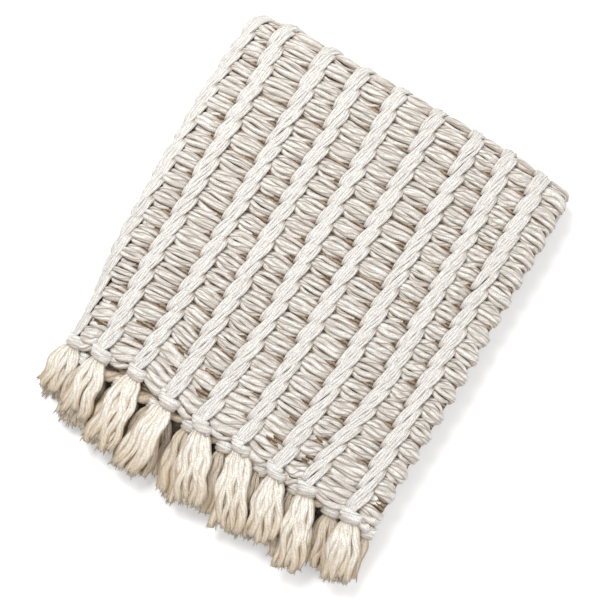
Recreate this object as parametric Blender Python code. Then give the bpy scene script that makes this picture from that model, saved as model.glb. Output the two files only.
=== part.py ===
"""Basketweave throw: one woven cloth with a knotted tassel at both ends of each rib.

The cloth is folded twice. The side fold, at +X, runs along the ribs and lays ribs 9 to
17 under ribs 0 to 8. The end fold, at +Y, runs across the ribs, so four plies lie on each
other and both fringed ends meet at -Y. A point of the cloth is named by two lengths on
the flat cloth: across, from rib 0, and along, from the hem that ends on top.
Lengths are in metres, +Z is up, and the throw rests on z = 0.
"""

import math

import bmesh
import bpy
from mathutils import Matrix, Vector

# The flat cloth
RIBS = 18
RIB_PITCH = 0.072
RIB_HALF = 0.012
ROWS = 36
ROW_PITCH = 0.039
SELVEDGE = 0.012
LENGTH = ROWS * ROW_PITCH
LAST_EDGE = (RIBS - 1) * RIB_PITCH + SELVEDGE

# The plies
HALF_PLY = 0.009
PLY_GAP = 0.003
EDGE_ROUND = 0.006
EDGE_THINNED = 0.45

# The weave's relief, up and down from the ply's plain face
RIB_RISE = 0.0045
PUFF_RISE = 0.001
GROOVE_DEPTH = 0.006
RIB_SWAY = 0.002

# The side fold. Thick cloth bends about its outer face, so it takes up more cloth than
# the radius of the ply's middle says.
TOP_RIBS = 9
RIB_TO_FOLD = 0.0375
SIDE_FOLD = (TOP_RIBS - 1) * RIB_PITCH + RIB_TO_FOLD
SIDE_RADIUS = HALF_PLY + PLY_GAP / 2
SIDE_TAKE_UP = 0.0146
SIDE_ARC = math.pi * SIDE_TAKE_UP
SIDE_SKEW = {"near": -0.004, "far": 0.011}

# The end fold, of the doubled cloth
END_FOLD = 0.651
DOUBLED_HALF = SIDE_RADIUS + HALF_PLY
END_RADIUS = DOUBLED_HALF + PLY_GAP / 2
OUTER_TAKE_UP = 0.035
CORNER_PULLS = (  # the end fold is drawn in at its two ends, from x = start outwards
    {"start": 0.47, "over": 0.16, "pull": 0.013},
    {"start": 0.06, "over": -0.07, "pull": 0.008},
)
PULL_FADE = {"start": 0.82, "over": 0.40}
INNER_TAKE_UP = 0.021
INNER_HEM = 0.018
FOLD_CENTRE_Z = DOUBLED_HALF + END_RADIUS
PLY_SLIP = 0.02

# How unevenly the throw lies
TOP_SWELL = 0.003
SWELL_LENGTHS = (0.23, 0.31)
BASE_TUCK = 0.03
INNER_TUCK = 0.02
DROOP_START = 0.042
DROOP_BEND = 0.020
DROOPS = (
    {"along": 0.00, "slope": 54},
    {"along": 0.30, "slope": 34},
    {"along": 0.52, "slope": 40},
    {"along": 0.62, "slope": 28},
    {"along": 0.73, "slope": 20},
)
HEM_FADE = 0.30
WANDER_FADE = 0.15
WANDER_PLACES = {"near": 0.0, "mid": 0.22, "late": 0.50, "far": 0.68}
WANDERS = (  # for ribs 0 to 8: the hem out of line, and the rib out of place along its length
    {"hem": 0.004, "near": 0.002, "mid": -0.016, "late": -0.026, "far": -0.014},
    {"hem": 0.009, "near": -0.004, "mid": -0.014, "late": -0.020, "far": -0.028},
    {"hem": 0.014, "near": -0.006, "mid": -0.003, "late": -0.008, "far": -0.013},
    {"hem": 0.001, "near": -0.004, "mid": -0.002, "late": -0.006, "far": -0.012},
    {"hem": -0.007, "near": -0.007, "mid": 0.001, "late": -0.002, "far": -0.008},
    {"hem": -0.004, "near": -0.002, "mid": 0.002, "late": 0.002, "far": 0.000},
    {"hem": -0.010, "near": 0.000, "mid": 0.012, "late": 0.011, "far": 0.009},
    {"hem": -0.006, "near": -0.013, "mid": 0.014, "late": 0.010, "far": 0.003},
    {"hem": -0.008, "near": 0.003, "mid": 0.005, "late": 0.002, "far": 0.000},
)

# The tassels, a row of nine at each ply's hem. Their reach is measured from the hem, and
# their strands end at the height tip_z. The free edge's tassel hangs lower.
SEAT_GAP = 0.0003
KNOT_LENGTH = 0.021
ROLL_LENGTH = 0.03
STRAND_SHARE = 0.86
REST_SHARE = 1 / 6 + STRAND_SHARE / 3
EDGE_TIP_Z = 0.022
TASSEL_ROWS = {
    "top": {"strands": 8, "tip_z": 0.047},
    "second": {"strands": 8, "tip_z": 0.027},
    "third": {"strands": 4, "tip_z": 0.0165},
    "floor": {"strands": 4, "tip_z": 0.0},
}
KNOT_RINGS = (
    {"at": 0.000, "width": 0.016, "height": 0.009},
    {"at": 0.009, "width": 0.027, "height": 0.017},
    {"at": KNOT_LENGTH, "width": 0.021, "height": 0.013},
)
STRAND_RINGS = (
    {"at": 0.5, "width": 0.048, "height": 0.012},
    {"at": 1.0, "width": 0.058, "height": 0.010},
)
OUTER_LEANS = (0, 4, 1, 0, 18, 19, 16, 17, 22)  # for ribs 0 to 8
OUTER_REACHES = (0.112, 0.128, 0.148, 0.158, 0.150, 0.152, 0.140, 0.148, 0.122)
UNDER_LEANS = (12, 18, 24, 22, 20, 15, 8, 8, 10)  # for ribs 9 to 17
UNDER_REACHES = (0.100, 0.104, 0.138, 0.134, 0.130, 0.134, 0.130, 0.126, 0.120)
UNDER_WIDTHS = (0.65, 0.65, 1, 1, 1, 1, 1, 1, 1)
THIRD_SHARE = 0.92
FLOOR_REACH = 0.124
TIP_CUTS = (0.0, 0.07, 0.02, 0.10, 0.04, 0.0, 0.08, 0.03)

# The grid's lines along the ribs, as lengths past a rib, and its lines across them. The
# front is fine where the weave shows, and the back and the hidden plies are coarse.
PANEL_LINES = (0, 0.012, 0.026, 0.046, 0.060)
FOLD_LINES = (0.053, 0.060, 0.066, 0.072, 0.078, 0.084, 0.091, 0.098, 0.108, 0.118)
ROW_SPLITS = 3
BASE_SPANS = 8
BACK_EDGE_LINES = (-SELVEDGE, -SELVEDGE + EDGE_ROUND, 0, 0.012, 0.026, 0.046)
BACK_UNDER_RIBS = (11, 13, 15)
BACK_TOP_ROWS = (0, EDGE_ROUND, 0.05, 0.1, 0.15, 0.225, 0.3, 0.4, 0.5, 0.56)
BACK_BASE_ROWS = (0.89, 1.04, 1.2, LENGTH - EDGE_ROUND, LENGTH)

YARN = (0.84, 0.79, 0.70)
YARN_ROUGHNESS = 0.95


def clamp(value, low, high):
    return max(low, min(high, value))


def smooth(value):
    """A soft step from 0 to 1."""
    value = clamp(value, 0.0, 1.0)
    return value * value * (3 - 2 * value)


# ---- the fold ----

def side_skew(along):
    """How far the side fold is off its line. It comes back on the plies underneath."""
    part = clamp(min(along, LENGTH - along) / END_FOLD, 0, 1)
    return SIDE_SKEW["near"] + (SIDE_SKEW["far"] - SIDE_SKEW["near"]) * part


def side_fold(across):
    """x, and the height over the doubled cloth's middle, of a line that runs along the cloth."""
    past = across - SIDE_FOLD
    turn = clamp(past / SIDE_TAKE_UP, 0, math.pi)
    x = min(across, SIDE_FOLD) - max(past - SIDE_ARC, 0) + SIDE_RADIUS * math.sin(turn)
    return x, SIDE_RADIUS * math.cos(turn)


def path_length(along, hem, take_up):
    """How far along the end fold's path a row lies, on a ply whose hem starts at -hem."""
    past = along - hem - END_FOLD
    in_arc = clamp(past, 0, math.pi * take_up)
    return along - hem - in_arc * (1 - END_RADIUS / take_up)


def wander(across, what):
    """A column of the wanders' table, with a level stretch at each rib."""
    place = clamp(across / RIB_PITCH, 0, len(WANDERS) - 1.001)
    rib = int(place)
    low, high = WANDERS[rib][what], WANDERS[rib + 1][what]
    return low + (high - low) * smooth((place - rib - 0.2) / 0.6)


def astray(across, along):
    """How far a line has wandered over the top. The ply under it comes back into place."""
    off = wander(across, "near")
    places = list(WANDER_PLACES.items())
    for (low, start), (high, end) in zip(places, places[1:]):
        off += (wander(across, high) - wander(across, low)) * smooth((along - start) / (end - start))
    return off * (1 - smooth((across - SIDE_FOLD - SIDE_ARC) / WANDER_FADE))


def under_share(across):
    """0 on the top ply and 1 on the one under it, turning over round the side fold."""
    return smooth((across - SIDE_FOLD + PLY_SLIP) / (SIDE_ARC + 2 * PLY_SLIP))


def end_path(across, along):
    """Place on the end fold's path. The two plies take up different lengths round it."""
    outer = path_length(along, 0, OUTER_TAKE_UP)
    inner = path_length(along, INNER_HEM, INNER_TAKE_UP)
    under = under_share(across - side_skew(along))
    step = wander(across, "hem") * smooth(1 - along / HEM_FADE) * (1 - under)
    return outer + (inner - outer) * under + step


def corner_pull(x):
    """How far the end fold is drawn in at this place along it."""
    return sum(c["pull"] * smooth((x - c["start"]) / c["over"]) for c in CORNER_PULLS)


def end_turn(path):
    """How far round the end fold the cloth has turned, 0 on top and pi on the base."""
    return clamp((path - END_FOLD) / END_RADIUS, 0, math.pi)


def droop_slope(along):
    """The slope of the top ply's free edge, past its bend."""
    for low, high in zip(DROOPS, DROOPS[1:]):
        if along < high["along"]:
            part = smooth((along - low["along"]) / (high["along"] - low["along"]))
            return math.radians(low["slope"] + (high["slope"] - low["slope"]) * part)
    return math.radians(DROOPS[-1]["slope"])


def droop(across, along):
    """How far the top ply's free edge is drawn in, and how far it hangs down."""
    past = max(DROOP_START - across, 0)
    bend = min(past, DROOP_BEND)
    steepest = droop_slope(along)
    angle = steepest * bend / DROOP_BEND
    radius = DROOP_BEND / steepest
    reach = radius * math.sin(angle) + (past - bend) * math.cos(steepest)
    fall = radius * (1 - math.cos(angle)) + (past - bend) * math.sin(steepest)
    return past - reach, fall


def middle(across, along):
    """The ply's middle surface in the folded throw."""
    skew = side_skew(along)
    x, height = side_fold(across - skew)
    pull = corner_pull(x)
    faded = smooth((along - PULL_FADE["start"]) / PULL_FADE["over"])
    path = end_path(across, along) + pull * (1 - 2 * faded)
    turn = end_turn(path)
    radius = END_RADIUS + height
    y = min(path, END_FOLD) - max(path - END_FOLD - math.pi * END_RADIUS, 0) - pull
    y += radius * math.sin(turn)
    z = FOLD_CENTRE_Z + radius * math.cos(turn)
    upper = (1 + math.cos(turn)) / 2
    drawn_in, fall = droop(across, along)
    drawn_in += astray(across, along)
    tucked = BASE_TUCK * (1 - upper) + INNER_TUCK * under_share(across - skew)
    aside = tucked * (SIDE_FOLD - x) + skew
    waves = [math.sin(math.tau * value / length) for value, length in zip((x, y), SWELL_LENGTHS)]
    swell = TOP_SWELL * (1 + waves[0] * waves[1]) / 2
    return Vector((x + drawn_in * upper + aside, y, z + (swell - fall) * upper))


def facing(across, along):
    """The direction in which the cloth's front looks."""
    step = 0.0005
    over = middle(across + step, along) - middle(across - step, along)
    on = middle(across, along + step) - middle(across, along - step)
    return over.cross(on).normalized()


# ---- the woven cloth ----

def relief(across, along):
    """Height of the ribs and puffs over the ply's plain face."""
    from_rib = abs((across + RIB_PITCH / 2) % RIB_PITCH - RIB_PITCH / 2)
    if from_rib <= RIB_HALF:
        rounding = math.cos(math.pi / 2 * from_rib / RIB_HALF)
        return (RIB_RISE + GROOVE_DEPTH) * rounding - GROOVE_DEPTH
    off_centre = (RIB_PITCH / 2 - from_rib) / (RIB_PITCH / 2 - RIB_HALF)
    across_puff = math.sqrt(max(1 - off_centre**4, 0))
    along_puff = math.sin(math.pi * (along / ROW_PITCH % 1.0)) ** 0.6
    return (PUFF_RISE + GROOVE_DEPTH) * across_puff * along_puff - GROOVE_DEPTH


def shows(across, along):
    """1 where the weave is raised, and 0 on the hidden plies and under the throw."""
    turn = end_turn(end_path(across, along))
    side = smooth((SIDE_FOLD + SIDE_ARC + 0.01 - across + side_skew(along)) / 0.01)
    return side * smooth((math.radians(150) - turn) / math.radians(40))


def half_ply(across, along):
    """Half the ply's thickness, drawn in along the cut edges."""
    inside = min(across + SELVEDGE, LAST_EDGE - across, along, LENGTH - along)
    return HALF_PLY * (1 - EDGE_THINNED * clamp(1 - inside / EDGE_ROUND, 0, 1))


def cloth_point(across, along, side):
    """A point of the cloth's front, where side is 1, or of its back, where it is -1."""
    lift = half_ply(across, along)
    if side > 0:
        raised = shows(across, along)
        lift += relief(across, along) * raised * lift / HALF_PLY
        near_rib = abs((across + RIB_PITCH / 2) % RIB_PITCH - RIB_PITCH / 2) < RIB_HALF / 2
        if near_rib and 0 < along < LENGTH:
            across += RIB_SWAY * raised * math.sin(math.tau * along / ROW_PITCH)
    return middle(across, along) + facing(across, along) * lift * side


def front_lines():
    """The front's lines along the ribs."""
    last = (TOP_RIBS - 1) * RIB_PITCH
    lines = [-SELVEDGE, -SELVEDGE + EDGE_ROUND]
    lines += [rib * RIB_PITCH + past for rib in range(TOP_RIBS - 1) for past in PANEL_LINES]
    lines += [last + past for past in (*PANEL_LINES[:3], RIB_TO_FOLD, PANEL_LINES[3], *FOLD_LINES)]
    lines += [rib * RIB_PITCH for rib in range(TOP_RIBS + 1, RIBS)]
    return lines + [LAST_EDGE - EDGE_ROUND, LAST_EDGE]


def front_rows():
    """The front's lines across the ribs."""
    step = ROW_PITCH / ROW_SPLITS
    fold_end = END_FOLD + math.pi * OUTER_TAKE_UP
    base = LENGTH - EDGE_ROUND - fold_end
    lines = [0.0, EDGE_ROUND] + [step * i for i in range(1, int((fold_end - step) / step))]
    lines += [fold_end - step, fold_end]
    return lines + [fold_end + base * i / BASE_SPANS for i in range(1, BASE_SPANS + 1)] + [LENGTH]


def thinned(lines, wanted):
    """The lines nearest to the wanted ones, in order."""
    return sorted({min(lines, key=lambda line: abs(line - value)) for value in wanted})


def back_lines(lines):
    """The few of the front's lines along the ribs that the back has."""
    flat = [RIB_PITCH * rib + side for rib in range(1, TOP_RIBS) for side in (-RIB_HALF, RIB_HALF)]
    arc = [SIDE_FOLD + SIDE_ARC * i / 4 for i in range(5)]
    under = [RIB_PITCH * rib for rib in BACK_UNDER_RIBS] + [LAST_EDGE - EDGE_ROUND, LAST_EDGE]
    return thinned(lines, [*BACK_EDGE_LINES, *flat, *arc, *under])


def back_rows(rows):
    """The few of the front's lines across the ribs that the back has."""
    arc = [END_FOLD + math.pi * OUTER_TAKE_UP * i / 6 for i in range(7)]
    return thinned(rows, [*BACK_TOP_ROWS, *arc, *BACK_BASE_ROWS])


def add_face_of_cloth(mesh, lines, rows, side):
    """A grid folded into the cloth's front or back, with its corners listed by their lengths."""
    spans = (len(lines) - 1, len(rows) - 1)
    grid = bmesh.ops.create_grid(mesh, x_segments=spans[0], y_segments=spans[1], size=0.5)
    corners = {}
    for vert in grid["verts"]:
        line = lines[round((vert.co.x + 0.5) * spans[0])]
        row = rows[round((vert.co.y + 0.5) * spans[1])]
        corners[line, row] = vert
    for (line, row), vert in corners.items():
        vert.co = cloth_point(line, row, side)
    return corners


def close_edge(mesh, front, back, front_edge, back_edge):
    """Faces between the front's and the back's ends of one edge of the cloth."""
    for start, end in zip(back_edge, back_edge[1:]):
        run = front_edge[front_edge.index(start):front_edge.index(end) + 1]
        mesh.faces.new([back[start], *[front[key] for key in run], back[end]])


def make_throw():
    mesh = bmesh.new()
    lines, rows = front_lines(), front_rows()
    few_lines, few_rows = back_lines(lines), back_rows(rows)
    front = add_face_of_cloth(mesh, lines, rows, 1)
    back = add_face_of_cloth(mesh, few_lines, few_rows, -1)
    for row in (0.0, LENGTH):
        close_edge(mesh, front, back, [(l, row) for l in lines], [(l, row) for l in few_lines])
    for line in (-SELVEDGE, LAST_EDGE):
        close_edge(mesh, front, back, [(line, r) for r in rows], [(line, r) for r in few_rows])
    bmesh.ops.recalc_face_normals(mesh, faces=mesh.faces)
    return finish("throw", mesh)


# ---- the tassels ----

def strip_outline(strands, ring, rounded):
    """Corners of a zigzag strip of triangles, one for each strand, as (sideways, up)."""
    corners = []
    for i in range(strands + 2):
        share = i / (strands + 1) - 0.5
        bulge = math.sqrt(1 - (1.7 * share) ** 2) if rounded else 1
        corners.append((share * ring["width"], (-0.5, 0.5)[i % 2] * ring["height"] * bulge))
    return corners


def tassel_seat(rib, along, row):
    """Where a rib's tassel meets the hem, and the direction there that becomes its upper side."""
    across = rib * RIB_PITCH
    seat = middle(across, along)
    neck = KNOT_RINGS[0]["width"] * 0.8
    hem = [cloth_point(across + off, along, side) for off in (-neck, 0, neck) for side in (-1, 1)]
    seat.y = min(point.y for point in hem) - SEAT_GAP
    up = facing(across, along)
    up.y = 0
    if row == "second" or up.z < -0.5:
        up = -up
    return seat, up.normalized()


def ring_matrix(seat, up, lean, away, centre_z):
    """Puts a flat outline across the tassel's path. The neck's ring lies flat on the hem."""
    outwards = Vector((0, -1, 0))
    heading = Matrix.Rotation(math.radians(lean), 3, "Z") @ outwards
    forward = outwards.lerp(heading, smooth(away / KNOT_LENGTH)).normalized()
    sideways = up.lerp(Vector((0, 0, 1)), smooth(away / ROLL_LENGTH)).cross(forward).normalized()
    axes = Matrix((sideways, forward.cross(sideways), -forward)).transposed().to_4x4()
    centre = seat + heading * away
    centre.z = centre_z
    return Matrix.Translation(centre) @ axes


def make_tassel(name, rib, along, row, lean, reach, width=1.0):
    size = TASSEL_ROWS[row]
    strands = size["strands"]
    seat, up = tassel_seat(rib, along, row)
    edge_tassel = row == "top" and rib == 0
    loose = reach - KNOT_LENGTH

    def corners_of(ring, away, rounded):
        gone = max(away - KNOT_LENGTH, 0) / loose
        tip_z = max(EDGE_TIP_Z if edge_tassel else size["tip_z"], REST_SHARE * ring["height"])
        place = ring_matrix(seat, up, lean, away, seat.z + (tip_z - seat.z) * gone)
        return [place @ Vector((*corner, 0)) for corner in strip_outline(strands, ring, rounded)]

    mesh = bmesh.new()
    rings = []
    for ring in KNOT_RINGS:
        rings.append([mesh.verts.new(corner) for corner in corners_of(ring, ring["at"], True)])
    order = [*range(0, strands + 2, 2), *reversed(range(1, strands + 2, 2))]
    mesh.faces.new([rings[0][i] for i in order])
    for near, far in zip(rings, rings[1:]):
        for a, b in zip(order, order[1:] + order[:1]):
            mesh.faces.new([near[a], near[b], far[b], far[a]])
    for strand in range(strands):
        last = rings[-1][strand:strand + 3]
        cut = TIP_CUTS[(strand + 3 * rib) % len(TIP_CUTS)]
        for ring, part in zip(STRAND_RINGS, (STRAND_RINGS[0]["at"], 1 - cut)):
            fan = {"width": ring["width"] * width, "height": ring["height"]}
            corners = corners_of(fan, KNOT_LENGTH + loose * part, False)[strand:strand + 3]
            centre = sum(corners, Vector()) / 3
            new = [mesh.verts.new(centre + (corner - centre) * STRAND_SHARE) for corner in corners]
            for i, j in ((0, 1), (1, 2), (2, 0)):
                mesh.faces.new([last[i], last[j], new[j], new[i]])
            last = new
        mesh.faces.new(last)
    bmesh.ops.recalc_face_normals(mesh, faces=mesh.faces)
    return finish(name, mesh)


def make_tassels():
    made = []
    for rib, (lean, reach) in enumerate(zip(OUTER_LEANS, OUTER_REACHES)):
        made.append(make_tassel(f"tassel_top_{rib:02d}", rib, 0.0, "top", lean, reach))
        made.append(make_tassel(f"tassel_base_{rib:02d}", rib, LENGTH, "floor", 0, FLOOR_REACH))
    under = zip(UNDER_LEANS, UNDER_REACHES, UNDER_WIDTHS)
    for rib, (lean, reach, width) in enumerate(under, start=TOP_RIBS):
        made.append(make_tassel(f"tassel_top_{rib:02d}", rib, 0.0, "second", lean, reach, width))
        reach *= THIRD_SHARE
        made.append(make_tassel(f"tassel_base_{rib:02d}", rib, LENGTH, "third", lean, reach, width))
    return made


# ---- shared ----

def finish(name, mesh):
    """The mesh as an object of its own, with its own yarn material."""
    data = bpy.data.meshes.new(name)
    mesh.to_mesh(data)
    mesh.free()
    thing = bpy.data.objects.new(name, data)
    bpy.context.scene.collection.objects.link(thing)
    material = bpy.data.materials.new(f"{name}_yarn")
    material.use_nodes = True
    shader = material.node_tree.nodes["Principled BSDF"]
    shader.inputs["Base Color"].default_value = (*YARN, 1)
    shader.inputs["Roughness"].default_value = YARN_ROUGHNESS
    shader.inputs["Metallic"].default_value = 0.0
    data.materials.append(material)
    return thing


def stand_over_origin(things):
    """Moves everything sideways so that the origin is under the middle of the whole throw."""
    corners = [vert.co for thing in things for vert in thing.data.vertices]
    middle_x = (min(c.x for c in corners) + max(c.x for c in corners)) / 2
    middle_y = (min(c.y for c in corners) + max(c.y for c in corners)) / 2
    for thing in things:
        thing.location = (-middle_x, -middle_y, 0)


for old in list(bpy.data.objects):
    bpy.data.objects.remove(old, do_unlink=True)
stand_over_origin([make_throw(), *make_tassels()])
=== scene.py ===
# The looks of a folded basketweave throw: plump weft yarns, twined ribs, wound knots and
# tassels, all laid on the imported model's double fold. Lengths are in metres.
import math

import bmesh
import bpy
import numpy as np
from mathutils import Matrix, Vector


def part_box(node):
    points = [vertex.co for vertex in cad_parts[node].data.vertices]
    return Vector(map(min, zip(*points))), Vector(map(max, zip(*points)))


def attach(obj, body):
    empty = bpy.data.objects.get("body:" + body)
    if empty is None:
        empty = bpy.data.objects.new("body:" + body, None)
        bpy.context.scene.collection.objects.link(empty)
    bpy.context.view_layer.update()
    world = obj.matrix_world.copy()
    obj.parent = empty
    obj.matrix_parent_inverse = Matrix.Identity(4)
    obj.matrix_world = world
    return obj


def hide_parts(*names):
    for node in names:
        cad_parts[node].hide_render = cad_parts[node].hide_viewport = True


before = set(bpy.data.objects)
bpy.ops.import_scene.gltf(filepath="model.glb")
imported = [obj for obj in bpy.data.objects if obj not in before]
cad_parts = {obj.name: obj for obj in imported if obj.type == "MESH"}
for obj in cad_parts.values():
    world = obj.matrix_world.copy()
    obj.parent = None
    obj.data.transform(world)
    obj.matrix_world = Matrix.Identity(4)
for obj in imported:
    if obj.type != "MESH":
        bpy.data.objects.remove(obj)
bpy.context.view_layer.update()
scene = bpy.context.scene
tau = math.tau
print("frame loaded:", len(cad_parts), "nodes")

# the fold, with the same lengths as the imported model

ribPitch, ribCount = 0.072, 18
rowPitch, rowCount = 0.039, 36
selvedge = 0.012
clothLength = rowCount * rowPitch
lastEdge = (ribCount - 1) * ribPitch + selvedge
clothWidth = lastEdge + selvedge
halfPly, plyGap = 0.009, 0.003
puffRise = 0.001
sideFoldAt, sideTakeUp = 0.6135, 0.0146
sideRadius = halfPly + plyGap / 2
sideArc = math.pi * sideTakeUp
sideSkews = {"near": -0.004, "far": 0.011}
endFold, outerTakeUp, innerTakeUp, innerHem = 0.651, 0.035, 0.021, 0.018
doubledHalf = sideRadius + halfPly
endRadius = doubledHalf + plyGap / 2
foldCentreZ = doubledHalf + endRadius
cornerPulls = (
    {"start": 0.47, "over": 0.16, "pull": 0.013},
    {"start": 0.06, "over": -0.07, "pull": 0.008},
)
pullFade = {"start": 0.82, "over": 0.40}
plySlip, topSwell, swellLengths = 0.02, 0.003, (0.23, 0.31)
baseTuck, innerTuck = 0.03, 0.02
droopStart, droopBend = 0.042, 0.020
droops = ((0.00, 54), (0.30, 34), (0.52, 40), (0.62, 28), (0.73, 20))  # along, degrees
hemFade, wanderFade = 0.30, 0.15
wanderHold, wanderStep = 0.2, 0.6  # parts of the way from a rib to the next
wanderPlaces = {"near": 0.0, "mid": 0.22, "late": 0.50, "far": 0.68}
wanders = {  # ribs 0 to 8: the hem out of line, and the ribs out of place along their length
    "hem": (0.004, 0.009, 0.014, 0.001, -0.007, -0.004, -0.010, -0.006, -0.008),
    "near": (0.002, -0.004, -0.006, -0.004, -0.007, -0.002, 0.000, -0.013, 0.003),
    "mid": (-0.016, -0.014, -0.003, -0.002, 0.001, 0.002, 0.012, 0.014, 0.005),
    "late": (-0.026, -0.020, -0.008, -0.006, -0.002, 0.002, 0.011, 0.010, 0.002),
    "far": (-0.014, -0.028, -0.013, -0.012, -0.008, 0.000, 0.009, 0.003, 0.000),
}
standAt = np.array((-0.31200832, -0.26916468, 0.0))  # puts the middle of the throw over the origin
normalStep = 0.0005
showEdge, showTurn, showOver = 0.01, 150, 40  # past the side fold, and degrees round the end fold
floorGap = 0.0002


def smooth(value):
    value = np.clip(value, 0, 1)
    return value * value * (3 - 2 * value)


def ramp(value, start, length):
    # 0 before the start, 1 from a length further on. A negative length runs the other way
    return smooth((value - start) / length)


def sideSkew(along):
    part = np.clip(np.minimum(along, clothLength - along) / endFold, 0, 1)
    return sideSkews["near"] + (sideSkews["far"] - sideSkews["near"]) * part


def sideFold(across):
    past = across - sideFoldAt
    turn = np.clip(past / sideTakeUp, 0, math.pi)
    x = np.minimum(across, sideFoldAt) - np.maximum(past - sideArc, 0) + sideRadius * np.sin(turn)
    return x, sideRadius * np.cos(turn)


def pathLength(along, hem, takeUp):
    inArc = np.clip(along - hem - endFold, 0, math.pi * takeUp)
    return along - hem - inArc * (1 - endRadius / takeUp)


def wander(across, what):
    table = np.array(wanders[what])
    place = np.clip(across / ribPitch, 0, len(table) - 1.001)  # so that there is always a next rib
    rib = place.astype(int)
    return table[rib] + (table[rib + 1] - table[rib]) * smooth((place - rib - wanderHold) / wanderStep)


def astray(across, along):
    off = wander(across, "near")
    places = list(wanderPlaces.items())
    for (low, start), (high, end) in zip(places, places[1:]):
        off = off + (wander(across, high) - wander(across, low)) * smooth((along - start) / (end - start))
    return off * (1 - smooth((across - sideFoldAt - sideArc) / wanderFade))


def underShare(across):
    return smooth((across - sideFoldAt + plySlip) / (sideArc + 2 * plySlip))


def endPath(across, along):
    outer = pathLength(along, 0, outerTakeUp)
    inner = pathLength(along, innerHem, innerTakeUp)
    under = underShare(across - sideSkew(along))
    step = wander(across, "hem") * smooth(1 - along / hemFade) * (1 - under)
    return outer + (inner - outer) * under + step


def cornerPull(x):
    return sum(c["pull"] * smooth((x - c["start"]) / c["over"]) for c in cornerPulls)


def endTurn(path):
    return np.clip((path - endFold) / endRadius, 0, math.pi)


def droopSlope(along):
    slope = np.full_like(along, droops[-1][1])
    for (start, low), (end, high) in reversed(list(zip(droops, droops[1:]))):
        part = low + (high - low) * smooth((along - start) / (end - start))
        slope = np.where(along < end, part, slope)
    return np.radians(slope)


def droop(across, along):
    past = np.maximum(droopStart - across, 0)
    bend = np.minimum(past, droopBend)
    steepest = droopSlope(along)
    angle = steepest * bend / droopBend
    radius = droopBend / steepest
    reach = radius * np.sin(angle) + (past - bend) * np.cos(steepest)
    fall = radius * (1 - np.cos(angle)) + (past - bend) * np.sin(steepest)
    return past - reach, fall


def middle(across, along):
    skew = sideSkew(along)
    x, height = sideFold(across - skew)
    pull = cornerPull(x)
    faded = smooth((along - pullFade["start"]) / pullFade["over"])
    path = endPath(across, along) + pull * (1 - 2 * faded)
    turn = endTurn(path)
    radius = endRadius + height
    y = np.minimum(path, endFold) - np.maximum(path - endFold - math.pi * endRadius, 0) - pull
    y = y + radius * np.sin(turn)
    z = foldCentreZ + radius * np.cos(turn)
    upper = (1 + np.cos(turn)) / 2
    drawnIn, fall = droop(across, along)
    drawnIn = drawnIn + astray(across, along)
    tucked = baseTuck * (1 - upper) + innerTuck * underShare(across - skew)
    aside = tucked * (sideFoldAt - x) + skew
    swell = topSwell * (1 + np.sin(tau * x / swellLengths[0]) * np.sin(tau * y / swellLengths[1])) / 2
    return np.stack([x + drawnIn * upper + aside, y, z + (swell - fall) * upper], axis=-1)


def facing(across, along):
    step = normalStep
    over = middle(across + step, along) - middle(across - step, along)
    on = middle(across, along + step) - middle(across, along - step)
    out = np.cross(over, on)
    return out / np.linalg.norm(out, axis=-1, keepdims=True)


def fold(flat):
    # flat points (across, along, lift from the ply's middle) to their place in the folded throw
    across, along, lift = flat[..., 0], flat[..., 1], flat[..., 2]
    return middle(across, along) + facing(across, along) * lift[..., None] + standAt


def shows(across, along):
    # 1 where the weave stands up, 0 on the hidden plies and on the side that lies on the floor
    turn = endTurn(endPath(across, along))
    side = smooth((sideFoldAt + sideArc + showEdge - across + sideSkew(along)) / showEdge)
    return side * smooth((math.radians(showTurn) - turn) / math.radians(showOver))


# shared tools

tubeSetup = {
    "apart": 3, "mergeWithin": 1e-4, "seedStep": 0.6180339,  # the seeds spread evenly from 0 to 1
    "lobes": 3, "lobeStep": 0.37, "lobeTwist": 0.25, "sideShadePower": 3,
}


def tubeCopies(name, count, sides, rings):
    # one rolled-up grid with closed ends, repeated by an array
    mesh = bmesh.new()
    mesh.loops.layers.uv.new("yarn")
    bmesh.ops.create_grid(mesh, x_segments=sides, y_segments=rings, size=0.5, calc_uvs=True)
    for vert in mesh.verts:
        angle = tau * (vert.co.x + 0.25)
        vert.co = (math.cos(angle), math.sin(angle), vert.co.y + 0.5)
    bmesh.ops.remove_doubles(mesh, verts=mesh.verts, dist=tubeSetup["mergeWithin"])
    bmesh.ops.holes_fill(mesh, edges=[e for e in mesh.edges if e.is_boundary], sides=0)
    data = bpy.data.meshes.new(name)
    mesh.to_mesh(data)
    mesh.free()
    thing = bpy.data.objects.new(name, data)
    scene.collection.objects.link(thing)
    copies = thing.modifiers.new("copies", "ARRAY")
    copies.count = count
    copies.use_relative_offset = False
    copies.use_constant_offset = True
    copies.constant_offset_displace = (tubeSetup["apart"], 0, 0)
    applyAll(thing)
    return thing


def applyAll(thing):
    graph = bpy.context.evaluated_depsgraph_get()
    data = bpy.data.meshes.new_from_object(thing.evaluated_get(graph))
    thing.modifiers.clear()
    thing.data = data


def perVertex(thing, name, values):
    layer = thing.data.attributes.new(name, "FLOAT", "POINT")
    layer.data.foreach_set("value", np.asarray(values, np.float32))


def finishMesh(thing):
    mesh = bmesh.new()
    mesh.from_mesh(thing.data)
    bmesh.ops.recalc_face_normals(mesh, faces=mesh.faces)
    for face in mesh.faces:
        face.smooth = True
    mesh.to_mesh(thing.data)
    mesh.free()


def unit(vectors):
    return vectors / np.maximum(np.linalg.norm(vectors, axis=-1, keepdims=True), 1e-9)


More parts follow.
